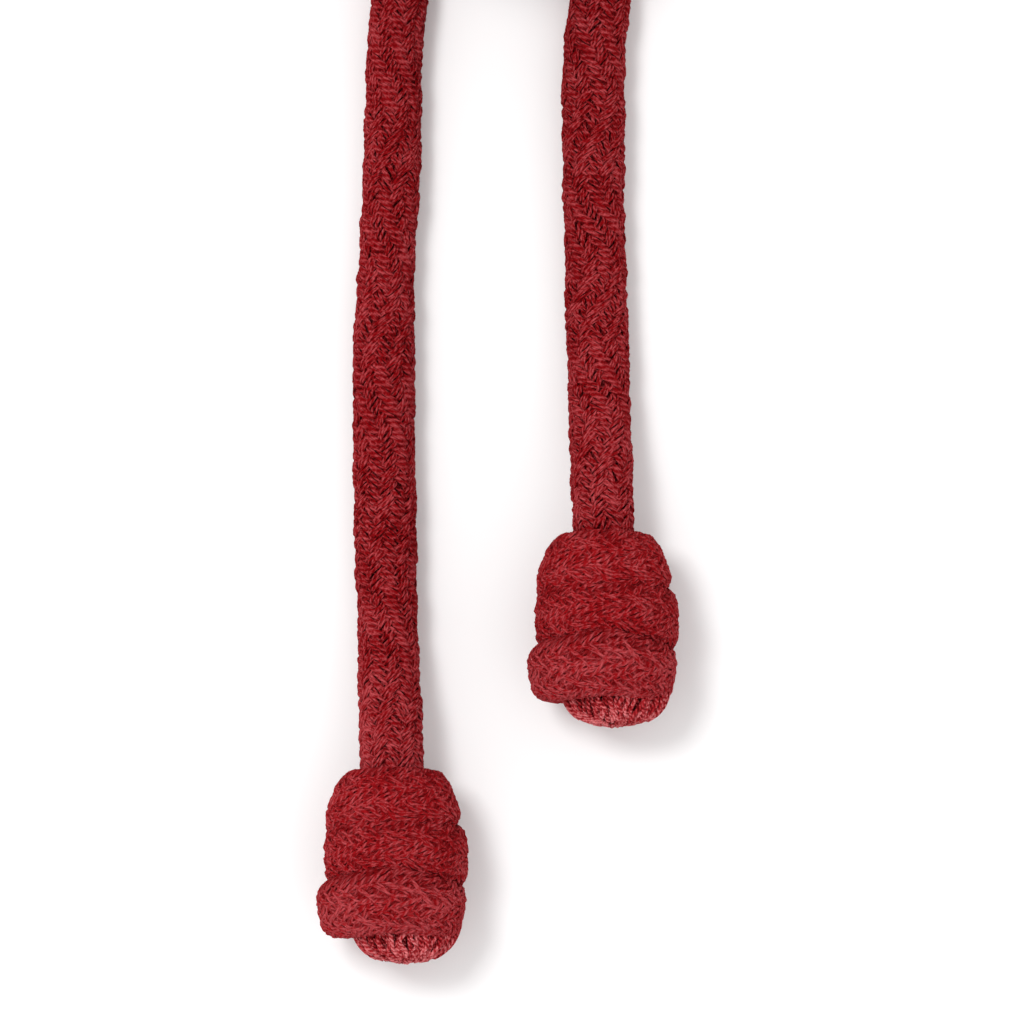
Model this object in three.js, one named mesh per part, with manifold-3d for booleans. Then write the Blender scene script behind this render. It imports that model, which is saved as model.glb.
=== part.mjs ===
// A long soft rope of braided red cotton cord, finished with a barrel knot at each end. The two ends lie side by side
// and the rest of the rope is wound into an oval hank in line with them, tied at both runs.
// Millimetres, +Z up. The rope lies on z = 0, with the hank towards +Y and the knotted ends towards -Y. The origin is
// at the middle of the whole laid-out rope, on the surface that it lies on.
import * as THREE from 'three';
import { mergeVertices } from 'three/addons/utils/BufferGeometryUtils.js';
import Module from 'manifold-3d';

// Driving dimensions
const CORD_D = 10;            // outside diameter of the braided cord
const CORE_D = 6;             // bundle of straight yarns inside the braid
const BRAID_BORE_D = 7;       // inside of the tubular braid, measured at the corners of its section
const HALF_LENGTH = 169;      // half of the laid-out rope's length along Y
const GAP = 0.3;              // clearance between solids that touch on the real rope
const CORD_SIDES = 10;        // sides of the cord's section
const CORD_STEP = 2.5 * CORD_D; // length of one step of a cord's tube

// The hank: two columns of turns side by side, four turns high
const HANK_INNER_R = 2 * CORD_D;
const HANK_OUTER_R = 4 * CORD_D;
const HANK_HEIGHT = 4 * CORD_D;
const HANK_RUN = 85;          // straight part of a run
const HANK_TOP_CENTRE_Y = HALF_LENGTH - HANK_OUTER_R;
const HANK_END_CENTRE_Y = HANK_TOP_CENTRE_Y - HANK_RUN;
const HANK_MIDDLE_Y = (HANK_TOP_CENTRE_Y + HANK_END_CENTRE_Y) / 2;
const TIE_WIDTH = 8.4;
const TIE_THICKNESS = 2.3;    // the tie lies in a waist that it pulls into the run

// A barrel knot: three turns of the cord round its own standing part, with the cut end showing below them
const KNOT_LENGTH = 32.8;     // from the neck to the tip of the cut end
const KNOT_AXIS_Z = 12.3;     // the fattest turn rests on the floor
const TURN_THICKNESS = 7.4;   // a turn's thickness away from the axis, where the cord is pressed flat
const TURN_WIDTH = 7.4;       // a turn's width along the axis
const KNOT_CORE_R = 3;
const KNOT_CORE_START = 0.4;
const KNOT_CORE_END = 27;
const TURN_END_GAP = 7 * (Math.PI / 180);
const TURNS = {
  // depths: how far below the neck the turn's middle lies at its left side, front, right side, back and left side again.
  // r: the distance of its middle from the knot's axis. end: where round the axis it stops, in radians.
  upper: { depths: [7.2, 4.9, 5.9, 3.9, 3.9], r: 7.1, end: 1.15 * Math.PI },
  middle: { depths: [16.0, 13.4, 14.6, 11.5, 7.2], r: 8.0, end: 2 * Math.PI },
  lower: { depths: [24.8, 22.2, 23.4, 20.2, 16.0], r: 8.6, end: 2 * Math.PI },
};

// Each end: its route from the hank down to the neck of its knot, and where its knot lies. The route's points stay a
// hand-laid list. y and z are heights along and above the floor.
const BEND = 14;              // the short stretch of cord that takes up a bend
const ENDS = {
  left: {
    knotX: -16.8,
    neckY: -136.2,
    route: [
      [-16.9, 5.2, 5], [-16.0, -2, 5], [-15.9, -9, 5], [-16.8, -18, 5], [-17.0, -32, 5], [-17.6, -45, 5],
      [-18.3, -58, 5], [-18.5, -75, 5], [-18.4, -90, 5], [-18.1, -104, 5.2], [-17.8, -116, 6.6],
      [-17.4, -126, 9.4], [-17.0, -136.2, 12.1],
    ],
  },
  right: {
    knotX: 18.2,
    neckY: -97.0,
    route: [
      [20.2, 5.2, 5], [18.5, -2, 5], [17.5, -9, 5], [16.7, -17, 5], [16.5, -30, 5], [16.6, -43, 5],
      [16.9, -55, 5], [17.2, -66, 5.2], [17.5, -77, 6.6], [17.8, -87, 9.4], [18.1, -97, 12.1],
    ],
  },
};

const COLOURS = { braid: 0x96202a, coreYarn: 0xa83a40, tie: 0x7c1a22, cutEnd: 0xb04a4e };
const ROUGHNESS = 0.95;

const wasm = await Module();
wasm.setup();

const rope = new THREE.Group();

function addPiece(name, geometry, colour) {
  const material = new THREE.MeshStandardMaterial({ color: colour, roughness: ROUGHNESS, metalness: 0 });
  const piece = new THREE.Mesh(geometry, material);
  piece.name = name;
  rope.add(piece);
}

// Closed three.js geometry to a solid for cutting, and back
function toSolid(geometry) {
  const bare = geometry.clone();
  bare.deleteAttribute('normal');
  bare.deleteAttribute('uv');
  const merged = mergeVertices(bare, 1e-4);
  return new wasm.Manifold(new wasm.Mesh({
    numProp: 3,
    vertProperties: Float32Array.from(merged.attributes.position.array),
    triVerts: Uint32Array.from(merged.index.array),
  }));
}

function toGeometry(solid) {
  const mesh = solid.getMesh();
  const geometry = new THREE.BufferGeometry();
  geometry.setAttribute('position', new THREE.BufferAttribute(mesh.vertProperties, 3));
  geometry.setIndex(new THREE.BufferAttribute(mesh.triVerts, 1));
  geometry.computeVertexNormals();
  return geometry;
}

// A round section, or an oval one, as a polygon
function ovalShape(halfWidth, halfHeight, sides) {
  const corners = Array.from({ length: sides }, (_, i) => {
    const turn = (2 * Math.PI * i) / sides;
    return new THREE.Vector2(halfWidth * Math.cos(turn), halfHeight * Math.sin(turn));
  });
  return new THREE.Shape(corners);
}

// Cord: the braid is a tube, and its core is a rod inside it
function braidShape() {
  const shape = ovalShape(CORD_D / 2, CORD_D / 2, CORD_SIDES);
  shape.holes.push(ovalShape(BRAID_BORE_D / 2, BRAID_BORE_D / 2, CORD_SIDES));
  return shape;
}

function sweep(shape, path, steps) {
  return new THREE.ExtrudeGeometry(shape, { steps, extrudePath: path, bevelEnabled: false });
}

function smoothPath(points) {
  return new THREE.CatmullRomCurve3(points, false, 'centripetal');
}

// The stretch of a route between two distances along it. It keeps the route's direction at both ends, so that two
// stretches in a row meet face to face.
class Stretch extends THREE.Curve {
  constructor(route, from, to) {
    super();
    Object.assign(this, { route, from, to });
  }

  getPoint(t) {
    return this.route.getPointAt((this.from + (this.to - this.from) * t) / this.route.getLength());
  }
}

function addCord(name, route, from, to) {
  const steps = Math.max(2, Math.ceil((to - from) / CORD_STEP));
  const path = new Stretch(route, from, to);
  addPiece(`${name}_braid`, sweep(braidShape(), path, steps), COLOURS.braid);
  const core = ovalShape(CORE_D / 2, CORE_D / 2, CORD_SIDES);
  addPiece(`${name}_core`, sweep(core, path, steps), COLOURS.coreYarn);
}

// One turn of a knot: its middle goes once round the axis, and its depth is eased between the given places
function turnPath(end, { depths, r, end: stop }) {
  const count = 24;
  const points = Array.from({ length: count + 1 }, (_, i) => {
    const turn = TURN_END_GAP + ((stop - 2 * TURN_END_GAP) * i) / count;
    const quarter = Math.min(3, Math.floor(turn / (Math.PI / 2)));
    const share = turn / (Math.PI / 2) - quarter;
    const eased = share * share * (3 - 2 * share);
    const depth = depths[quarter] + (depths[quarter + 1] - depths[quarter]) * eased;
    return new THREE.Vector3(
      end.knotX - r * Math.cos(turn),
      end.neckY - depth,
      KNOT_AXIS_Z + r * Math.sin(turn),
    );
  });
  return smoothPath(points);
}

function turned(profile, x, neckY) {
  const geometry = new THREE.LatheGeometry(profile.map(([r, depth]) => new THREE.Vector2(r, -depth)), 20);
  geometry.translate(x, neckY, KNOT_AXIS_Z);
  return geometry;
}

function addKnot(side, end) {
  const section = ovalShape(TURN_WIDTH / 2, TURN_THICKNESS / 2, 12);
  for (const [which, turn] of Object.entries(TURNS)) {
    addPiece(`${side}_knot_${which}_turn`, sweep(section, turnPath(end, turn), 30), COLOURS.braid);
  }
  // The standing part, squeezed thin where it runs down the middle of the turns
  addPiece(`${side}_knot_standing_part`, turned([
    [0, KNOT_CORE_END], [KNOT_CORE_R, KNOT_CORE_END], [KNOT_CORE_R, KNOT_CORE_START], [0, KNOT_CORE_START],
  ], end.knotX, end.neckY), COLOURS.braid);
  // The cut end, whose yarns spread below the last turn
  addPiece(`${side}_cut_end`, turned([
    [0, KNOT_LENGTH], [2.6, KNOT_LENGTH - 0.1], [5.2, KNOT_LENGTH - 1.0], [7.2, KNOT_LENGTH - 2.2],
    [8.0, KNOT_LENGTH - 3.4], [4.4, KNOT_LENGTH - 3.9], [4.2, KNOT_CORE_END + GAP], [0, KNOT_CORE_END + GAP],
  ], end.knotX, end.neckY), COLOURS.cutEnd);
}

function addEnd(side, end) {
  const route = smoothPath(end.route.map((p) => new THREE.Vector3(...p)));
  const length = route.getLength();
  addCord(`${side}_root`, route, 0, BEND);
  addCord(`${side}_leg`, route, BEND + GAP, length - BEND - 2 * GAP);
  addCord(`${side}_neck`, route, length - BEND - GAP, length - GAP);
  addKnot(side, end);
}

// The hank: its outer shape is an oval ring, with a waist at the middle of each run where a tie pulls it in
function ovalPath(Type, r) {
  const path = new Type();
  path.absarc(0, HANK_TOP_CENTRE_Y, r, 0, Math.PI, false);
  path.absarc(0, HANK_END_CENTRE_Y, r, Math.PI, 2 * Math.PI, false);
  return path;
}

function rectangle(Type, x0, x1, z0, z1) {
  const points = [[x0, z0], [x1, z0], [x1, z1], [x0, z1]].map(([x, z]) => new THREE.Vector2(x, z));
  return new Type(points);
}

// A band round one run, standing across Y
function band(sign, inset, thickness, width) {
  const x = [HANK_INNER_R + inset, HANK_OUTER_R - inset].map((v) => v * sign).sort((a, b) => a - b);
  const shape = rectangle(THREE.Shape, x[0], x[1], inset, HANK_HEIGHT - inset);
  const hole = rectangle(
    THREE.Path, x[0] + thickness, x[1] - thickness, inset + thickness, HANK_HEIGHT - inset - thickness,
  );
  shape.holes.push(hole);
  const geometry = new THREE.ExtrudeGeometry(shape, { depth: width, bevelEnabled: false });
  geometry.rotateX(Math.PI / 2);
  geometry.translate(0, HANK_MIDDLE_Y + width / 2, 0);
  return geometry;
}

function addHank() {
  const outline = ovalPath(THREE.Shape, HANK_OUTER_R);
  outline.holes.push(ovalPath(THREE.Path, HANK_INNER_R));
  const ring = new THREE.ExtrudeGeometry(outline, { depth: HANK_HEIGHT, bevelEnabled: false, curveSegments: 12 });
  let hank = toSolid(ring);
  for (const sign of [-1, 1]) {
    const waist = band(sign, -1, 1 + TIE_THICKNESS + GAP, TIE_WIDTH + 2 * GAP);
    hank = hank.subtract(toSolid(waist));
  }
  addPiece('hank_winding', toGeometry(hank), COLOURS.braid);
  addPiece('left_hank_tie', band(-1, 0, TIE_THICKNESS, TIE_WIDTH), COLOURS.tie);
  addPiece('right_hank_tie', band(1, 0, TIE_THICKNESS, TIE_WIDTH), COLOURS.tie);
}

addHank();
for (const [side, end] of Object.entries(ENDS)) addEnd(side, end);

export default rope;
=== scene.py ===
# A long soft rope of braided red cotton with a barrel knot at each end. Metres, +Z up, lying on z = 0.
import math
from collections import namedtuple

import bpy
import numpy as np
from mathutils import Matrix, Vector


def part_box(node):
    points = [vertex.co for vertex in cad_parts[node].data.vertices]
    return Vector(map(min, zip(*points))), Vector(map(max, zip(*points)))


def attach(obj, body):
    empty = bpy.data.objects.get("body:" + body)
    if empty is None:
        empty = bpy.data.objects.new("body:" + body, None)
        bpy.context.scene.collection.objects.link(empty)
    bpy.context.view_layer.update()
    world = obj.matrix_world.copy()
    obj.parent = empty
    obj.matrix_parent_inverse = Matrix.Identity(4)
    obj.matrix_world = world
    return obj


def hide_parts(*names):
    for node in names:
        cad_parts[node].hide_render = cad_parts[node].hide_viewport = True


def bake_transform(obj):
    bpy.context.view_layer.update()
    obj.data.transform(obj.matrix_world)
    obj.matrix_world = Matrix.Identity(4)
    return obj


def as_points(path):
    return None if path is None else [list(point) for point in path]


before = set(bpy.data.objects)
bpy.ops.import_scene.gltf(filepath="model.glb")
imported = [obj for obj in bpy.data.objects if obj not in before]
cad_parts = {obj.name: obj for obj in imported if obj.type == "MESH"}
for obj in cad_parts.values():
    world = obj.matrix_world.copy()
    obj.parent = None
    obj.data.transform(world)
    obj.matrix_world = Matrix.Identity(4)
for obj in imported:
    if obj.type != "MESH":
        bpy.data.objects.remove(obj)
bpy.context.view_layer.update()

# Camera. It hangs over the two knotted ends and looks straight down on them, far enough away to see them
# almost flat. The rest of the rope lies past the top of its view.
MM = 0.001
VIEW_SIZE = 170.7 * MM
VIEW_LEVEL = 8 * MM          # the height over the floor at which the view is that wide
CAMERA_HEIGHT = 1.2
BELOW_LOWER_KNOT = 10.4 * MM
RIGHT_OF_MIDDLE = 2.9 * MM
SENSOR = 36.0
view_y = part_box("left_cut_end")[0][1] - BELOW_LOWER_KNOT + VIEW_SIZE / 2
eye = bpy.data.cameras.new("eye")
eye.sensor_width = SENSOR
eye.lens = SENSOR * (CAMERA_HEIGHT - VIEW_LEVEL) / VIEW_SIZE
camera = bpy.data.objects.new("camera", eye)
camera.location = (RIGHT_OF_MIDDLE, view_y, CAMERA_HEIGHT)
bpy.context.collection.objects.link(camera)
bpy.context.scene.camera = camera
bpy.context.scene.view_settings.view_transform = "Standard"

# Route of the cord. One cord runs from the neck of the left knot up to the hank, round its turns, and down to
# the neck of the right knot. Where it isn't wound, its points are listed, in millimetres.
THICK = 10.0                 # the cord's diameter in millimetres, as the route's points are
CORD_D = THICK * MM
LEFT_KNOT = np.array([-16.8, -136.2, 12.3]) * MM
RIGHT_KNOT = np.array([18.2, -97.0, 12.3]) * MM
LEFT_END = [
    [-16.8, -140.0, 12.3], [-17.0, -136.2, 12.1], [-17.4, -126, 9.4], [-17.8, -116, 6.6], [-18.1, -104, 5.2],
    [-18.4, -90, 5], [-18.5, -75, 5], [-18.3, -58, 5], [-17.6, -45, 5], [-17.0, -32, 5], [-16.8, -18, 5],
    [-15.9, -9, 5], [-16.0, -2, 5], [-16.9, 5.2, 5],
]
LEFT_INTO_HANK = [[-19.5, 16, 5], [-22.8, 28, 5], [-24.7, 38, 5]]
OUT_OF_HANK_RIGHT = [[34.2, 36, 5], [31.2, 25.5, 5], [25.8, 14.5, 5]]
RIGHT_END = [
    [20.2, 5.2, 5], [18.5, -2, 5], [17.5, -9, 5], [16.7, -17, 5], [16.5, -30, 5], [16.6, -43, 5],
    [16.9, -55, 5], [17.2, -66, 5.2], [17.5, -77, 6.6], [17.8, -87, 9.4], [18.1, -97, 12.1],
    [18.2, -100.8, 12.3],
]
COLUMN_R = (25.0, 35.0)
HANK_TURNS = 8
LAYERS = 4
SAGGING = (-20, 24)          # from where to where a run of the outer column sinks, from the end's centre
STRAY = 0.35                 # how far a turn lies to one side of its place
hank_low, hank_high = (np.array(corner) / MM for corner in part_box("hank_winding"))
HANK_R = hank_high[0]
TOP_CENTRE_Y = hank_high[1] - HANK_R
END_CENTRE_Y = hank_low[1] + HANK_R
chance = np.random.default_rng(7)


def eased(low, high, x):
    """From 0 at low to 1 at high, with a soft start and end."""
    t = np.clip((x - low) / (high - low), 0, 1)
    return t * t * (3 - 2 * t)


def layer_z(turn):
    """The height of a turn's middle. The inner column is wound upwards, and the outer one downwards."""
    layer = turn if turn < LAYERS else HANK_TURNS - 1 - turn
    return THICK * (layer + 0.5)


def lifted(y):
    """How far a run of the outer column, on its way up the left side, is still raised, from 1 to 0."""
    return 1 - eased(END_CENTRE_Y + SAGGING[0], END_CENTRE_Y + SAGGING[1], y)


def winding():
    """Every turn of the oval: up its left side, over its top, down its right side, round its lower end."""
    points = []
    for turn in range(HANK_TURNS):
        inner, r, z = turn < LAYERS, COLUMN_R[turn >= LAYERS], layer_z(turn)
        drop = 0.0 if inner else THICK
        shift = chance.uniform(-STRAY, STRAY)
        for y in np.linspace(END_CENTRE_Y, TOP_CENTRE_Y, 7)[:-1]:
            points.append([-r - shift, y, z + drop * lifted(y)])
        for a in np.linspace(math.pi, 0, 12)[:-1]:
            points.append([r * math.cos(a), TOP_CENTRE_Y + r * math.sin(a), z])
        for y in np.linspace(TOP_CENTRE_Y, END_CENTRE_Y, 7)[:-1]:
            points.append([r + shift, y, z])
        if turn == HANK_TURNS - 1:
            break
        following = COLUMN_R[turn + 1 >= LAYERS]
        for q in np.linspace(0, 1, 14)[:-1]:
            a = -math.pi * q
            width = r + (following - r) * eased(0.05, 0.6, q)
            y = END_CENTRE_Y + width * math.sin(a)
            if inner and following == r:
                height = z + THICK * eased(0.15, 0.68, q)
            elif inner:
                height = z + THICK * eased(0.0, 0.45, q)
            else:
                height = z - THICK / 2 * math.sin(math.pi * min(1, max(0, (q - 0.22) / 0.42))) ** 2
            if q > 0.5 and (not inner or following != r):
                height -= THICK * (1 - lifted(y))
            points.append([width * math.cos(a), y, height])
    return points


def smooth_line(points, step):
    """A centripetal Catmull-Rom curve through the points in even steps, and how far along it each lies."""
    p = np.array(points, float)
    p = np.vstack([2 * p[0] - p[1], p, 2 * p[-1] - p[-2]])
    gap = np.maximum(np.linalg.norm(np.diff(p, axis=0), axis=1) ** 0.5, 1e-4)[:, None]
    slope = np.diff(p, axis=0) / gap
    two = (p[2:] - p[:-2]) / (gap[1:] + gap[:-1])
    start = (slope[:-2] - two[:-1] + slope[1:-1]) * gap[1:-1]
    end = (slope[1:-1] - two[1:] + slope[2:]) * gap[1:-1]
    t = np.linspace(0, 1, 24, endpoint=False)[:, None, None]
    a, b = p[1:-2], p[2:-1]
    line = (
        (2 * t**3 - 3 * t**2 + 1) * a + (t**3 - 2 * t**2 + t) * start
        + (3 * t**2 - 2 * t**3) * b + (t**3 - t**2) * end
    )
    line = np.vstack([line.transpose(1, 0, 2).reshape(-1, 3), p[-2:-1]])
    along = np.concatenate([[0], np.cumsum(np.linalg.norm(np.diff(line, axis=0), axis=1))])
    even = np.linspace(0, along[-1], int(along[-1] / step) + 1)
    return np.column_stack([np.interp(even, along, line[:, k]) for k in range(3)]), even


left_stub = [*LEFT_END, *LEFT_INTO_HANK]
right_stub = [*OUT_OF_HANK_RIGHT, *RIGHT_END]
route_points = np.array([*left_stub, *winding(), *right_stub]) * MM
route, route_s = smooth_line(route_points, 0.5 * MM)
CORD_LENGTH = route_s[-1]


def at_place(point):
    """How far along the route a point of it lies."""
    return float(route_s[np.linalg.norm(route - np.array(point) * MM, axis=1).argmin()])


HANK_START, HANK_END = at_place(LEFT_INTO_HANK[1]), at_place(OUT_OF_HANK_RIGHT[1])
LEFT_SEAM, RIGHT_SEAM = at_place([-18.1, -66, 5]), at_place([16.5, -35.5, 5])

# The braid. Twenty-four strands of soft yarns, twelve wound each way, pass over two and under two of one
# another round a core of straight yarns. Each yarn is a tube of its own on the two ends of the rope.
STRANDS_EACH_WAY = 12
STRAND_FILL = 0.97           # how much of its pitch round the cord a strand fills
CORE_SIDES = 16
NUDGE = 0.15 * MM
GOLDEN = 0.618034            # spreads the yarns' shades evenly
# pitch is the length in which a strand goes once round, wall_r the middle of the braid's wall, and rise how
# far a strand lifts and dips as it crosses the others. bed_r is the core under the strands, and bed_depth
# how light it is painted, from 0: a painted shade on the core seen between the strands. The crease value is a
# painted shade: how much darker one edge is, where it lies against the next turn. wander is how far a yarn
# strays from its lane, in lanes. step and sides are those of each yarn's tube.
Make = namedtuple("Make", "pitch wall_r rise yarns yarn_r bed_r bed_depth crease wander step sides")
LYING = Make(
    pitch=28 * MM, wall_r=4.49 * MM, rise=0.5 * MM, yarns=4, yarn_r=0.3 * MM, bed_r=4.0 * MM, bed_depth=0.0,
    crease=0.0, wander=0.11, step=0.74 * MM, sides=5,
)
OUTER_R = LYING.wall_r + LYING.rise + LYING.yarn_r


def frame_at(s):
    """The route's point, its sideways direction and its upward direction at distances s along it."""
    def point(x):
        over = np.clip(x, 0, CORD_LENGTH)
        return np.column_stack([np.interp(over, route_s, route[:, k]) for k in range(3)])

    reach = 1.5 * MM
    ahead, behind = point(s + reach), point(s - reach)
    along = ahead - behind
    along /= np.linalg.norm(along, axis=1)[:, None]
    side = np.cross(along, [0, 0, 1.0])
    side /= np.linalg.norm(side, axis=1)[:, None]
    return (ahead + behind + 2 * point(s)) / 4, side, np.cross(side, along)


def wave(x):
    """1 where a strand passes over two others, and -1 where it passes under two. x counts the crossings."""
    return np.tanh(1.6 * np.cos(math.pi / 2 * (x - 0.5))) / np.tanh(1.6)


def drift(s, seed, size, reach):
    """A smooth wandering value along s, the same for the same seed."""
    own = np.random.default_rng(seed)
    total = np.zeros_like(s)
    for k in range(4):
        period = reach * own.uniform(0.5, 1.6)
        total += np.sin(2 * math.pi * s / period + own.uniform(0, 2 * math.pi))
    return size * total / 2


def swell(s, turn):
    """How much fatter the soft cord is here. It is pulled thinner where the left end leaves the hank."""
    pulled = 0.45 * MM * eased(72 * MM, 92 * MM, s) * eased(170 * MM, 150 * MM, s)
    sideways = drift(s, 902, 0.09 * MM, 13 * MM) * np.cos(turn)
    upward = drift(s, 903, 0.09 * MM, 11 * MM) * np.sin(turn)
    return drift(s, 901, 0.10 * MM, 34 * MM) - pulled + sideways + upward


def cord_place(s, turn, r):
    """Where a point r from the cord's middle lies, at an angle turn round it. The cord is twisted a little to
    and fro, and pressed flat on the floor."""
    middle, side, up = frame_at(s)
    turn = turn + drift(s, 904, 0.4, 32 * MM)
    r = (r + swell(s, turn))[:, None]
    place = middle + r * (np.cos(turn)[:, None] * side + np.sin(turn)[:, None] * up)
    place[:, 2] = np.maximum(place[:, 2], 0.05 * MM + 0.1 * place[:, 2])
    return place


def yarn_course(way, lane, across, make, seed):
    """A yarn's angle round the cord and its distance from the cord's middle, as functions of s."""

    def course(s):
        wander = drift(s, seed, make.wander, 6 * MM) + drift(s, seed + 30000, 0.03, 1.6 * MM)
        turn = 2 * math.pi * ((lane + across + wander) / STRANDS_EACH_WAY + way * s / make.pitch)
        crossed = 2 * STRANDS_EACH_WAY * s / make.pitch
        lift = way * wave(2 * lane + way * crossed + across)
        r = make.wall_r + make.rise * lift - 0.5 * MM * across**2 + drift(s, seed + 50000, 0.11 * MM, 4 * MM)
        return turn, r

    return course


def mesh_piece(name, points, faces, values, material):
    """A smooth mesh object with per-point values that its material reads."""
    mesh = bpy.data.meshes.new(name)
    mesh.from_pydata(points.tolist(), [], faces)
    for key, value in values.items():
        attribute = mesh.attributes.new(key, "FLOAT", "POINT")
        attribute.data.foreach_set("value", np.asarray(value, np.float32))
    mesh.polygons.foreach_set("use_smooth", [True] * len(mesh.polygons))
    mesh.materials.append(material)
    piece = bpy.data.objects.new(name, mesh)
    bpy.context.collection.objects.link(piece)
    return piece


def tube_faces(rings, sides, first):
    """Quads between the rings of one closed tube, and its two end caps, facing outwards."""
    r, c = np.meshgrid(np.arange(rings - 1), np.arange(sides), indexing="ij")
    a = first + r * sides + c
    b = first + r * sides + (c + 1) % sides
    quads = np.stack([a, b, b + sides, a + sides], -1).reshape(-1, 4).tolist()
    last = first + (rings - 1) * sides
    caps = [list(range(first + sides - 1, first - 1, -1)), list(range(last, last + sides))]
    return quads + caps


def tube_rings(line, outward, ahead, radius, sides):
    """Rings of points round a line. outward is where each ring starts, and ahead is the line's direction."""
    ahead = ahead / np.linalg.norm(ahead, axis=1)[:, None]
    outward = outward - (outward * ahead).sum(1)[:, None] * ahead
    outward /= np.linalg.norm(outward, axis=1)[:, None]
    across = np.cross(ahead, outward)
    a = np.linspace(0, 2 * math.pi, sides, endpoint=False) + math.pi
    ring = np.cos(a)[None, :, None] * outward[:, None] + np.sin(a)[None, :, None] * across[:, None]
    return line[:, None] + np.broadcast_to(radius, len(line))[:, None, None] * ring


class Bundle:
    """Tubes gathered into one mesh, with the values that the yarn material reads."""

    def __init__(self):
        self.points, self.faces, self.count = [], [], 0
        self.values = {"shade": [], "along": [], "around": [], "depth": []}

    def add(self, rings, shade, along, depth):
        """One more tube: its rings, and each ring's shade, distance along in millimetres and depth."""
        steps, sides = rings.shape[:2]
        self.faces += tube_faces(steps, sides, self.count)
        self.points.append(rings.reshape(-1, 3))
        self.count += steps * sides
        around = np.tile(np.linspace(0, 1, sides, endpoint=False), steps)
        for key, value in (("shade", shade), ("along", along), ("depth", depth)):
            self.values[key].append(np.repeat(value, sides))
        self.values["around"].append(around)

    def piece(self, name, material):
        """All the tubes as one object."""
        values = {key: np.concatenate(value) for key, value in self.values.items()}
        return mesh_piece(name, np.concatenate(self.points), self.faces, values, material)


def braided(name, place, start, end, material, make, paling):
    """Every yarn of a stretch of braid, laid by place(s, turn, r), over a core. The last argument, a function
    of s, makes it paler.
    """
    bundle = Bundle()
    yarn_length = (end - start) * math.hypot(1, 2 * math.pi * make.wall_r / make.pitch)
    s = np.linspace(start, end, int(yarn_length / make.step))
    seed = 1000
    for way in (1, -1):
        for lane in range(STRANDS_EACH_WAY):
            for yarn in range(make.yarns):
                seed += 1
                across = ((yarn + 0.5) / make.yarns - 0.5) * STRAND_FILL
                course = yarn_course(way, lane, across, make, seed)
                turn, r = course(s)
                line = place(s, turn, r)
                outward = place(s, turn, r + NUDGE) - line
                ahead = place(s + NUDGE, *course(s + NUDGE)) - place(s - NUDGE, *course(s - NUDGE))
                size = make.yarn_r * (1 + drift(s, seed + 90000, 0.10, 2.6 * MM))
                # How deep the yarn lies among its neighbours, from 0 to 1. The material paints a yarn darker
                # the deeper it lies, a painted shade.
                depth = np.clip((r - make.wall_r) / (2 * make.rise) + 0.5, 0, 1)
                # A painted shade on one edge of the cord, strongest at turn 0. On a knot this is each turn's
                # upper edge, where it lies against the next turn.
                depth = depth - make.crease * np.maximum(0, np.cos(turn)) ** 2.2
                shade = (seed * GOLDEN) % 1 + paling(s)
                bundle.add(tube_rings(line, outward, ahead, size, make.sides), shade, s / MM, depth)
    s = np.linspace(start, end, max(8, int((end - start) / (2 * MM))))
    around = np.linspace(0, 2 * math.pi, CORE_SIDES, endpoint=False)
    grid_s, grid_turn = np.repeat(s, CORE_SIDES), np.tile(around, len(s))
    core = place(grid_s, grid_turn, np.full(len(grid_s), make.bed_r)).reshape(len(s), CORE_SIDES, 3)
    # The core's depth value is the bed depth, which the material paints dark: a painted shade seen between the
    # strands.
    bundle.add(core, 0.5 + 0 * s, s / MM, make.bed_depth + 0 * s)
    return bundle.piece(name, material)


# Yarn. Soft spun cotton, dyed crimson: matt and a little fuzzy, twisted, and paler where it is rubbed. Where
# it goes down between its neighbours it is painted nearly black, a painted shade. Random dark specks take the
# same dark colour.
TWIST_ALONG, TWIST_ROUND = 6.4, 12.566   # a yarn's twist in radians, per millimetre and once round it
PATCHES, FLECKS = 210, 1300              # how fine the worn patches and the fuzz are
SHEEN = (1.0, 0.1, 0.12, 1)


def braid_pattern(maths, nodes, links):
    """The yarns of a wound length, from its UV map: along it in crossings, and round it in strands."""
    uv = nodes.new("ShaderNodeUVMap")
    uv.uv_map = "braid"
    apart = nodes.new("ShaderNodeSeparateXYZ")
    links.new(uv.outputs["UV"], apart.inputs["Vector"])
    crossed, around = apart.outputs["X"], apart.outputs["Y"]
    one, other = maths("SUBTRACT", around, crossed), maths("ADD", around, crossed)

    def off(lane):
        return maths("SUBTRACT", lane, maths("ROUND", lane))

    def lift(across, lane):
        crossing = maths("ADD", maths("ADD", across, maths("ROUND", lane)), -0.5)
        return maths("COSINE", maths("MULTIPLY", crossing, math.pi / 2))

    one_over = maths("GREATER_THAN", maths("ADD", lift(other, one), lift(one, other)), 0.0)
    top = maths("ADD", other, maths("MULTIPLY", one_over, maths("SUBTRACT", one, other)))
    groove = maths("ABSOLUTE", maths("SINE", maths("MULTIPLY", top, math.pi * LYING.yarns)))
    gap = maths("POWER", maths("MULTIPLY", maths("ABSOLUTE", off(top)), 2.0), 4.0)
    return groove, gap


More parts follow.
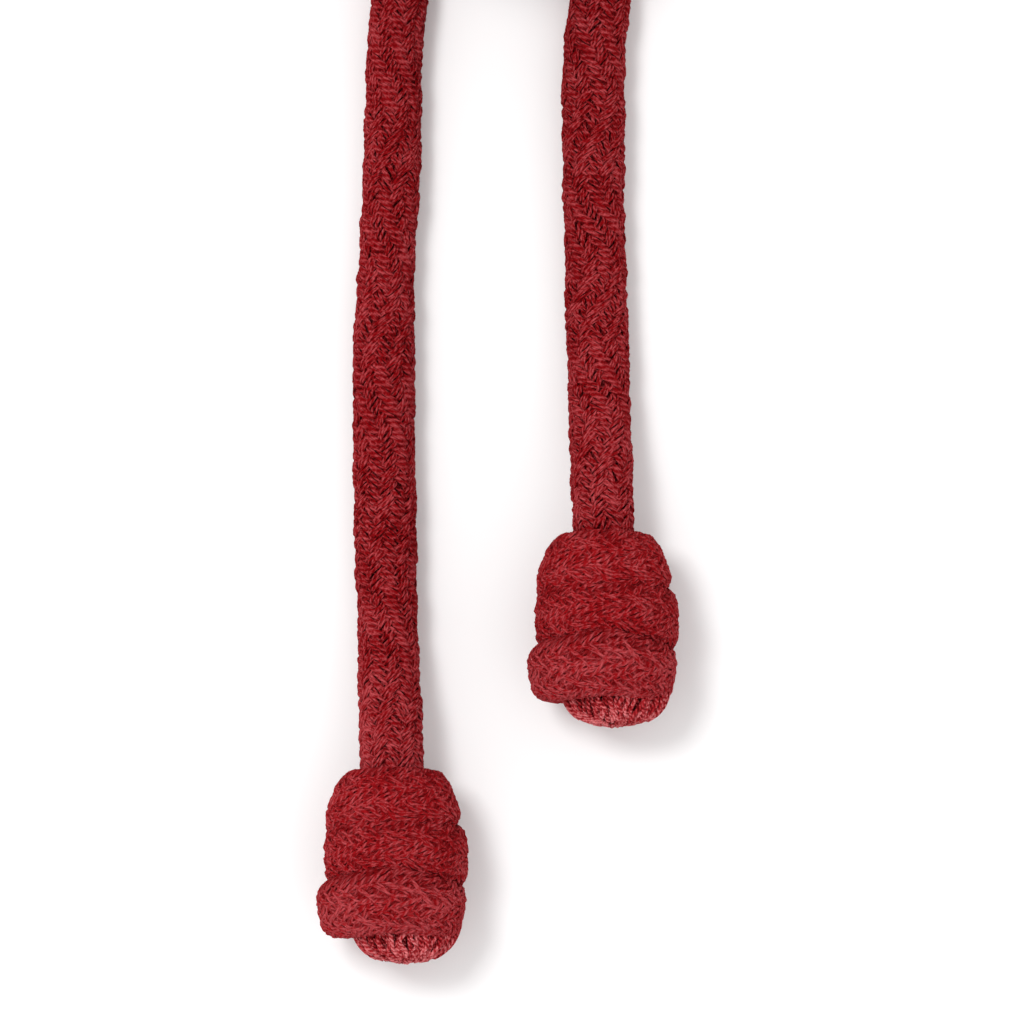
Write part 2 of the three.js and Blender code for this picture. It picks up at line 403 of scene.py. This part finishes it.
def cotton(name, base, pale, deep, wound=False):
    """Dyed cotton, in its own colour and its paler one, darkened towards the third colour: a painted shade
    where a yarn lies deep, in gaps, grooves and creases, and the dark of random specks. On a wound length the
    material also draws the yarns."""
    material = bpy.data.materials.new(name)
    material.use_nodes = True
    nodes, links = material.node_tree.nodes, material.node_tree.links
    shader = nodes["Principled BSDF"]
    shader.inputs["Roughness"].default_value = 0.92
    shader.inputs["Specular IOR Level"].default_value = 0.045
    shader.inputs["Sheen Weight"].default_value = 0.11
    shader.inputs["Sheen Roughness"].default_value = 0.45
    shader.inputs["Sheen Tint"].default_value = SHEEN

    def value(kind):
        node = nodes.new("ShaderNodeAttribute")
        node.attribute_name = kind
        return node.outputs["Fac"]

    def maths(operation, *inputs):
        node = nodes.new("ShaderNodeMath")
        node.operation = operation
        for k, x in enumerate(inputs):
            if isinstance(x, (int, float)):
                node.inputs[k].default_value = x
            else:
                links.new(x, node.inputs[k])
        return node.outputs[0]

    def noise(scale, detail, curl):
        node = nodes.new("ShaderNodeTexNoise")
        node.inputs["Scale"].default_value = scale
        node.inputs["Detail"].default_value = detail
        node.inputs["Distortion"].default_value = curl
        links.new(coords.outputs["Object"], node.inputs["Vector"])
        return node.outputs["Fac"]

    def mix(low, high, share):
        node = nodes.new("ShaderNodeMix")
        node.data_type = "RGBA"
        for socket, x in (("A_Color", low), ("B_Color", high)):
            target = next(i for i in node.inputs if i.identifier == socket)
            if isinstance(x, tuple):
                target.default_value = (*x, 1)
            else:
                links.new(x, target)
        links.new(share, next(i for i in node.inputs if i.identifier == "Factor_Float"))
        return next(o for o in node.outputs if o.identifier == "Result_Color")

    coords = nodes.new("ShaderNodeTexCoord")
    patches, flecks = noise(PATCHES, 2, 0), noise(FLECKS, 3, 1.2)
    patchy = 0.7 if wound else 1.2
    # Worn patches, fuzz and each yarn's own tone make the colour paler. Below, a painted shade of the yarns'
    # grooves is added to the same value.
    wear_and_groove_shade = maths("MULTIPLY_ADD", patches, patchy, maths("MULTIPLY_ADD", value("shade"), 0.35, -patchy / 2))
    wear_and_groove_shade = maths("MULTIPLY_ADD", flecks, 2.6, maths("ADD", wear_and_groove_shade, -1.3))
    if wound:
        # On a wound length the yarns are painted on: a painted shade along the lines between strands, and
        # painted light, in a paler colour, on the yarns' crowns. Both also bump the surface.
        groove, gap = braid_pattern(maths, nodes, links)
        wear_and_groove_shade = maths("MULTIPLY_ADD", groove, 0.6, maths("ADD", wear_and_groove_shade, -0.42))
        height = maths("MULTIPLY_ADD", groove, 0.9, maths("MULTIPLY_ADD", gap, -1.2, flecks))
        lit = maths("MULTIPLY_ADD", gap, -0.8, maths("MULTIPLY_ADD", groove, 0.4, 0.72))
    else:
        # On yarn tubes the twist is painted: its grooves darker and its ridges paler and lighter, a painted
        # shade besides its bump.
        spiral = maths("MULTIPLY", value("along"), TWIST_ALONG)
        spiral = maths("ADD", spiral, maths("MULTIPLY", value("around"), TWIST_ROUND))
        groove = maths("SINE", spiral)
        wear_and_groove_shade = maths("MULTIPLY_ADD", groove, 0.34, wear_and_groove_shade)
        height = maths("MULTIPLY_ADD", groove, 0.6, flecks)
        lit = maths("MULTIPLY_ADD", groove, 0.1, maths("ADD", value("depth"), 0.42))
    colour = mix(base, pale, maths("MINIMUM", maths("MAXIMUM", wear_and_groove_shade, 0.0), 1.0))
    # Dark specks where the wear value is low, and the painted shade of lit: the colour is darkened towards the
    # third, nearly black colour.
    lit = maths("MULTIPLY_ADD", maths("MINIMUM", wear_and_groove_shade, 0.0), 1.7, lit)
    colour = mix(deep, colour, maths("MINIMUM", maths("MAXIMUM", lit, 0.0), 1.0))
    links.new(colour, shader.inputs["Base Color"])
    bump = nodes.new("ShaderNodeBump")
    bump.inputs["Strength"].default_value = 0.8
    bump.inputs["Distance"].default_value = 0.22 * MM
    links.new(height, bump.inputs["Height"])
    links.new(bump.outputs["Normal"], shader.inputs["Normal"])
    return material


# The third colour is a painted shade, nearly black, for yarn deep between others, and also the colour of
# random dark specks.
BASE, PALE, SHADE_AND_SPECKS = (0.207, 0.0011, 0.0028), (0.45, 0.060, 0.068), (0.032, 0.0002, 0.0005)
yarn_cotton = cotton("crimson_yarn", BASE, PALE, SHADE_AND_SPECKS)

# The two ends' legs. Each is the plain cord between the hank and the neck of its knot, in two lengths that
# meet at a seam in the middle.
BEND = 14 * MM               # how far from the root and the neck two more points of the route are taken
PALING_REACH = 45 * MM            # the legs are palest near their knots, paling within this distance of the neck
LEG_PALING = 0.5
# How far along the route each leg leaves the hank, is at its root by the hank, has its seam, is at its knot's
# neck and ends inside the knot
LEG_PLACES = {
    "left": (HANK_START, at_place(LEFT_END[-1]), LEFT_SEAM, at_place(LEFT_END[1]), 0.0),
    "right": (HANK_END, at_place(RIGHT_END[0]), RIGHT_SEAM, at_place(RIGHT_END[-2]), CORD_LENGTH),
}


def path_of(start, end):
    """The route's points between two distances along it."""
    return [tuple(p) for p in route[(route_s >= start - 1e-6) & (route_s <= end + 1e-6)]]


legs = {}
for side, (top, root, seam, neck, inside) in LEG_PLACES.items():
    away = 1 if neck < top else -1
    for part, ends in (("upper", (seam, top)), ("lower", (inside, seam))):
        legs[side, part] = braided(
            f"{side}_leg_{part}", cord_place, min(ends), max(ends), yarn_cotton, LYING,
            lambda s, neck=neck: LEG_PALING * eased(PALING_REACH, 0, np.abs(s - neck)),
        )
    upper, lower = legs[side, "upper"], legs[side, "lower"]
    points = frame_at(np.array([root, root - away * BEND, neck + away * BEND, neck, seam]))[0]
    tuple(points[0])
    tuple(points[1])
    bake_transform(upper)
    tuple(points[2])
    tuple(points[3])
    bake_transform(lower)
    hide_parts(f"{side}_root_braid", f"{side}_root_core", f"{side}_leg_braid", f"{side}_leg_core")
    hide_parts(f"{side}_neck_braid", f"{side}_neck_core")
    tuple(frame_at(np.array([top]))[0][0])
    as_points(path_of(min(top, seam), max(top, seam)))

# The knots. At each end the cord turns three times round its own standing part, pressed flat against itself,
# and both ends of the turns dive into the middle. Pulling the cord tight has drawn its strands out lengthways.
# The knots' yarns have a painted shade along the upper edge of each turn, and their core is painted less dark
# than the legs'.
KNOTTED = Make(
    pitch=40 * MM, wall_r=OUTER_R - 0.50 * MM, rise=0.18 * MM, yarns=4, yarn_r=0.32 * MM,
    bed_r=OUTER_R - 0.54 * MM, bed_depth=0.75, crease=1.1, wander=0.26, step=1.0 * MM, sides=5,
)
# The knots are paler towards their lower turn, by this much.
KNOT_PALING = 0.9
# The knot's third colour is the painted shade deep between its yarns and in its creases.
knot_cotton = cotton("crimson_knot", (0.266, 0.0034, 0.0058), (0.44, 0.060, 0.068), (0.15, 0.0016, 0.0028))
SQUARENESS = 2.8             # 2 is an oval section, and more is squarer
PRESSED_HALF = (5.0, 3.9)    # half the width and half the thickness of the section that spreads the strands
# How far round the knot, in degrees from its left side over its front; how far below the neck; how far from
# the knot's middle; half the width of the pressed cord along the knot, half its thickness; and its lean, in
# degrees
TURN_TABLE = np.array([
    [-165, 26.2, 2.6, 3.2, 2.9, 0], [-115, 26.0, 5.2, 3.6, 3.3, 0], [-45, 24.6, 8.2, 4.4, 3.8, -10],
    [0, 23.7, 8.8, 4.9, 3.9, -9], [45, 22.6, 8.7, 5.6, 3.9, -12], [90, 21.4, 8.5, 6.0, 3.9, -8],
    [135, 22.6, 8.4, 5.4, 3.9, -10], [180, 23.6, 8.1, 5.0, 3.9, -8], [270, 20.2, 8.1, 4.9, 3.8, 0],
    [360, 14.9, 7.8, 5.8, 3.8, 0], [405, 13.7, 8.0, 5.3, 3.8, 0], [450, 12.7, 8.1, 5.0, 3.8, 0],
    [495, 13.7, 8.3, 5.4, 3.8, 0], [540, 15.2, 8.6, 5.9, 3.9, 0], [630, 11.0, 7.8, 5.2, 3.8, 8],
    [720, 6.9, 7.1, 5.8, 3.7, 19], [810, 5.3, 6.7, 5.5, 3.7, 22], [900, 6.0, 6.8, 5.4, 3.7, 22],
    [965, 6.2, 6.0, 4.4, 3.4, 12], [1035, 8.5, 2.6, 3.2, 2.9, 0],
])


def smooth_table(table, finest):
    """The table's rows at every finest degrees, on a smooth curve through them."""
    x, y = table[:, 0], table[:, 1:]
    slope = np.gradient(y, x, axis=0)
    at = np.arange(x[0], x[-1] + finest / 2, finest)
    k = np.clip(np.searchsorted(x, at, side="right") - 1, 0, len(x) - 2)
    gap = (x[k + 1] - x[k])[:, None]
    t = (at - x[k])[:, None] / gap
    rows = (
        (2 * t**3 - 3 * t**2 + 1) * y[k] + (t**3 - 2 * t**2 + t) * gap * slope[k]
        + (3 * t**2 - 2 * t**3) * y[k + 1] + (t**3 - t**2) * gap * slope[k + 1]
    )
    return at, rows


turn_at, turn_rows = smooth_table(TURN_TABLE, 3)
turn_a = np.radians(turn_at)
turn_middle = np.column_stack([
    -turn_rows[:, 1] * np.cos(turn_a), -turn_rows[:, 0], turn_rows[:, 1] * np.sin(turn_a),
]) * MM
turn_s = np.concatenate([[0], np.cumsum(np.linalg.norm(np.diff(turn_middle, axis=0), axis=1))])


def squared(x):
    """A sine or cosine as it is on the pressed cord's squarish outline."""
    return np.sign(x) * np.abs(x) ** (2 / SQUARENESS)


# Where each even step round the pressed cord's outline falls, so that its strands are spread evenly over it
outline_turn = np.linspace(0, 2 * math.pi, 2881)
outline = np.column_stack([squared(np.cos(outline_turn)), squared(np.sin(outline_turn))]) * PRESSED_HALF
outline_s = np.concatenate([[0], np.cumsum(np.linalg.norm(np.diff(outline, axis=0), axis=1))])
outline_s *= 2 * math.pi / outline_s[-1]


def knot_place(neck):
    """place(s, turn, r) for the pressed cord of the knot whose neck is at a point."""

    def place(s, turn, r):
        angle = np.radians(np.interp(s, turn_s, turn_at))
        depth, out, width, thick, lean = (np.interp(s, turn_s, turn_rows[:, k]) for k in range(5))
        even = np.interp(turn % (2 * math.pi), outline_s, outline_turn)
        along, away = squared(np.cos(even)) * width * MM, squared(np.sin(even)) * thick * MM
        more = (r - OUTER_R) / np.hypot(along, away)
        along, away = along * (1 + more), away * (1 + more)
        lean = np.radians(lean)
        up, off = along * np.cos(lean) + away * np.sin(lean), away * np.cos(lean) - along * np.sin(lean)
        out = out * MM + off
        return np.array(neck) + np.column_stack([-out * np.cos(angle), up - depth * MM, out * np.sin(angle)])

    return place


for side, neck in (("left", LEFT_KNOT), ("right", RIGHT_KNOT)):
    place = knot_place(neck)
    turns = braided(
        f"{side}_knot_turns", place, 0, turn_s[-1], knot_cotton, KNOTTED,
        lambda s: KNOT_PALING * eased(0.5, 0.2, s / turn_s[-1]),
    )
    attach(turns, f"{side}_knot")
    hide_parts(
        f"{side}_knot_upper_turn", f"{side}_knot_middle_turn", f"{side}_knot_lower_turn",
        f"{side}_knot_standing_part",
    )

# The cut ends. Below its last turn each knot ends in a short brush: the cord's own yarns, cut off, spread by
# the knot and trimmed to a shallow bowl.
BRUSH_SHELLS = ((1.0, 64), (0.92, 62), (0.8, 56), (0.64, 46), (0.48, 36), (0.3, 22), (0.12, 8))
BRUSH_HALF = (8.6 * MM, 7.9 * MM)    # across the knot, and up from the floor
BRUSH_RIGHT = 1.9 * MM
THROAT_DEPTH, RIM_DEPTH, BOWL_DEPTH = 23 * MM, 26.4 * MM, 6.2 * MM
THROAT_SHARE = 0.42
THROAT = -0.6                # a yarn runs from here, over the rim at 0, towards the middle of the bowl at 1
# The ends' third colour is the painted shade deep among the cut yarns.
ends_cotton = cotton("crimson_ends", (0.37, 0.014, 0.019), (0.82, 0.22, 0.23), (0.10, 0.0012, 0.0022))
for side, neck in (("left", LEFT_KNOT), ("right", RIGHT_KNOT)):
    bundle = Bundle()
    for share, count in BRUSH_SHELLS:
        for k in range(count):
            a = 2 * math.pi * (k + chance.uniform(-0.25, 0.25)) / count
            end = chance.uniform(0.5, 1.0) if share > 0.3 else 0.92
            reach = share * chance.uniform(0.92, 1.05)
            u = np.linspace(THROAT, end, 16)
            bowl = np.maximum(u, 0) * math.pi / 2
            swing = a + drift(u * 10 * MM, int(chance.integers(1e6)), 0.06, 7 * MM)
            opened = eased(THROAT, 0, u)
            spread = reach * np.cos(bowl) ** 0.7 * (THROAT_SHARE + (1 - THROAT_SHARE) * opened)
            sink = RIM_DEPTH + BOWL_DEPTH * np.sin(bowl) * (1 - 0.06 * share) * chance.uniform(0.95, 1.04)
            sink = sink - (RIM_DEPTH - THROAT_DEPTH) * np.minimum(u, 0) / THROAT
            line = np.array(neck) + np.column_stack([
                BRUSH_RIGHT * opened + BRUSH_HALF[0] * spread * np.cos(swing), -sink,
                BRUSH_HALF[1] * spread * np.sin(swing),
            ])
            ahead = np.gradient(line, axis=0)
            outward = np.column_stack([np.cos(swing), 0.3 + 0 * u, np.sin(swing)])
            # Each cut yarn's depth value: random, and lower for the inner shells, which the material paints
            # darker, a painted shade deep in the brush.
            depth = np.full(len(u), chance.uniform(0.55, 1.0) * (0.6 + 0.4 * share))
            shade = chance.uniform(-0.5, 1.0) + 1.1 * eased(end - 0.35, end, u)
            rings = tube_rings(line, outward, ahead, chance.uniform(0.3, 0.46) * MM, 6)
            bundle.add(rings, shade, u * 10, depth)
    brush = bundle.piece(f"{side}_cut_brush", ends_cotton)
    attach(brush, f"{side}_knot")
    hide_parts(f"{side}_cut_end")
    seam, inside = LEG_PLACES[side][2], LEG_PLACES[side][4]
    tuple(frame_at(np.array([seam]))[0][0])
    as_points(path_of(min(seam, inside), max(seam, inside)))

# The hank. The spare length is wound in an oval, four turns high and two wide, and drawn in at its ties.
HANK_LENGTHS = 4
CELLS_ROUND = 60
CELL = 0.47 * MM
TIE_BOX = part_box("right_hank_tie")
TIE_MIDDLE = (np.array(TIE_BOX[0]) + np.array(TIE_BOX[1])) / 2
TIE_SQUEEZE = 0.14
TIE_REACH = 9 * MM


def drawn_in(points):
    """Points of the hank, drawn in towards the middle of their run near its tie."""
    share = TIE_SQUEEZE * np.exp(-(((points[:, 1] - TIE_MIDDLE[1]) / TIE_REACH) ** 2))
    across = np.sign(points[:, 0]) * TIE_MIDDLE[0] - points[:, 0]
    return points + share[:, None] * np.column_stack([across, 0 * across, TIE_MIDDLE[2] - points[:, 2]])


def braid_surface(s, turn):
    """The braid's outer surface as one skin: the highest strand at each place, and how deep it lies."""
    around, crossed = turn / (2 * math.pi) * STRANDS_EACH_WAY, s / LYING.pitch * STRANDS_EACH_WAY
    heights = []
    for way in (1, -1):
        lane, other = around - way * crossed, around + way * crossed
        strand = np.round(lane)
        across = (lane - strand) / (STRAND_FILL / 2)
        lift = way * wave(other + strand)
        crown = LYING.yarn_r * (1 - 1.2 * across**4)
        heights.append(np.where(np.abs(across) < 1.01, LYING.wall_r + LYING.rise * lift + crown, LYING.bed_r))
    top = np.maximum(*heights)
    return top, np.clip((top - LYING.wall_r + 0.1 * MM) / (LYING.rise + LYING.yarn_r), 0, 1)


wound_cotton = cotton("crimson_yarn_wound", BASE, PALE, SHADE_AND_SPECKS, wound=True)
hank_ends = np.linspace(HANK_START, HANK_END, HANK_LENGTHS + 1)
for k, (start, end) in enumerate(zip(hank_ends, hank_ends[1:])):
    s = np.linspace(start, end, int((end - start) / CELL))
    turns = np.linspace(0, 2 * math.pi, CELLS_ROUND, endpoint=False)
    grid_s, grid_turn = np.repeat(s, CELLS_ROUND), np.tile(turns, len(s))
    r, depth = braid_surface(grid_s, grid_turn)
    values = {"shade": np.full(len(r), 0.5), "depth": depth}
    points = drawn_in(cord_place(grid_s, grid_turn, r))
    piece = mesh_piece(f"hank_cord_{k + 1}", points, tube_faces(len(s), CELLS_ROUND, 0), values, wound_cotton)
    cells = (len(s) - 1) * CELLS_ROUND
    corner_s = np.repeat(np.arange(len(s) - 1), 4 * CELLS_ROUND) + np.tile([0, 0, 1, 1], cells)
    corner_turn = np.tile(np.repeat(np.arange(CELLS_ROUND), 4), len(s) - 1) + np.tile([0, 1, 1, 0], cells)
    braid_uv = np.zeros((len(piece.data.loops), 2), np.float32)
    braid_uv[:4 * cells, 0] = s[corner_s] / LYING.pitch * STRANDS_EACH_WAY
    braid_uv[:4 * cells, 1] = corner_turn / CELLS_ROUND * STRANDS_EACH_WAY
    piece.data.uv_layers.new(name="braid").data.foreach_set("uv", braid_uv.ravel())
    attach(piece, "hank")
    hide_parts("hank_winding")
    tuple(frame_at(np.array([start]))[0][0])

# The ties. Each run of the hank is held by a thin two-ply cord, wound three times round it, knotted on itself
# on top and tucked in under the knot.
TIE_WINDS = 3
TIE_STEP = 2.35 * MM
TIE_OFF = 1.3 * MM           # how far the wound tie's middle lies off the run
TIE_CORNER = 0.62            # 1 winds it in an oval, and less in a squarer one
TIE_KNOT = 1.75 * MM         # scale of the overhand knot
TIE_KNOT_OFF = 2.4 * MM
PLY_R = 0.6 * MM
PLY_OFF = 0.42 * MM
PLY_PITCH = 6 * MM
PLY_SIDES = 7


def tie_line(side):
    """The middle line of one tie, from its free end through its knot and round the run."""
    half = np.array([CORD_D, LAYERS / 2 * CORD_D]) * (1 - TIE_SQUEEZE) + TIE_OFF
    top = np.array([side * TIE_MIDDLE[0], TIE_MIDDLE[1], TIE_MIDDLE[2] + half[1] + TIE_KNOT_OFF])
    free = [top + np.array([side * -4, 12, -1.2]) * MM, top + np.array([side * -3.5, 7, -0.4]) * MM]
    a = np.linspace(0.35, 2 * math.pi - 0.35, 20)
    loop = [np.sin(a) + 2 * np.sin(2 * a), np.cos(a) - 2 * np.cos(2 * a), -1.3 * np.sin(3 * a)]
    knot = top + np.column_stack(loop) * TIE_KNOT
    a = np.linspace(math.pi / 2, math.pi / 2 + 2 * math.pi * TIE_WINDS, 24 * TIE_WINDS)
    wound = np.column_stack([
        side * (TIE_MIDDLE[0] + half[0] * np.sign(np.cos(a)) * np.abs(np.cos(a)) ** TIE_CORNER),
        TIE_MIDDLE[1] + TIE_STEP * ((a - math.pi / 2) / (2 * math.pi) - TIE_WINDS / 2),
        TIE_MIDDLE[2] + half[1] * np.sign(np.sin(a)) * np.abs(np.sin(a)) ** TIE_CORNER,
    ])
    return smooth_line([*free, *knot, *wound[2:-1]], 0.7 * MM)


for name, side in (("left", -1), ("right", 1)):
    line, s = tie_line(side)
    ahead = np.gradient(line, axis=0)
    ahead /= np.linalg.norm(ahead, axis=1)[:, None]
    first = np.cross(ahead, [0.28, 0.93, 0.22])    # a direction that the tie never runs in
    first /= np.linalg.norm(first, axis=1)[:, None]
    second = np.cross(ahead, first)
    bundle = Bundle()
    for ply in (0, math.pi):
        twist = 2 * math.pi * s / PLY_PITCH + ply
        off = np.cos(twist)[:, None] * first + np.sin(twist)[:, None] * second
        course = line + PLY_OFF * off
        rings = tube_rings(course, off, np.gradient(course, axis=0), PLY_R, PLY_SIDES)
        bundle.add(rings, 0.3 + 0 * s, s / MM, 0.8 + 0 * s)
    tie = bundle.piece(f"{name}_tie", yarn_cotton)
    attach(tie, "hank")
    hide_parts(f"{name}_hank_tie")

# Floor and light. A pale sheet on the floor, lit by one soft lamp from the upper left and by a white room.
PAPER = (0.92, 0.92, 0.92, 1)
PAPER_ROUGHNESS = 0.9
ROOM_LIGHT = 0.95
LAMP_SIZE, LAMP_WATTS = 0.29, 5.3
LAMP_LEFT, LAMP_UP, LAMP_HEIGHT = 0.36, 0.31, 0.98
bpy.ops.mesh.primitive_plane_add(size=4)
floor = bpy.context.object
floor.name = "floor"
paper = bpy.data.materials.new("paper")
paper.use_nodes = True
paper.node_tree.nodes["Principled BSDF"].inputs["Base Color"].default_value = PAPER
paper.node_tree.nodes["Principled BSDF"].inputs["Roughness"].default_value = PAPER_ROUGHNESS
floor.data.materials.append(paper)

world = bpy.data.worlds.new("room")
world.use_nodes = True
world.node_tree.nodes["Background"].inputs["Color"].default_value = (1, 1, 1, 1)
world.node_tree.nodes["Background"].inputs["Strength"].default_value = ROOM_LIGHT
bpy.context.scene.world = world
lamp_data = bpy.data.lights.new("lamp", "AREA")
lamp_data.size = LAMP_SIZE
lamp_data.energy = LAMP_WATTS
lamp = bpy.data.objects.new("lamp", lamp_data)
lamp.location = (-LAMP_LEFT, view_y + LAMP_UP, LAMP_HEIGHT)
toward = np.array([0, view_y, 0]) - np.array(lamp.location)
lamp.rotation_euler = Vector(toward).to_track_quat("-Z", "Y").to_euler()
bpy.context.collection.objects.link(lamp)
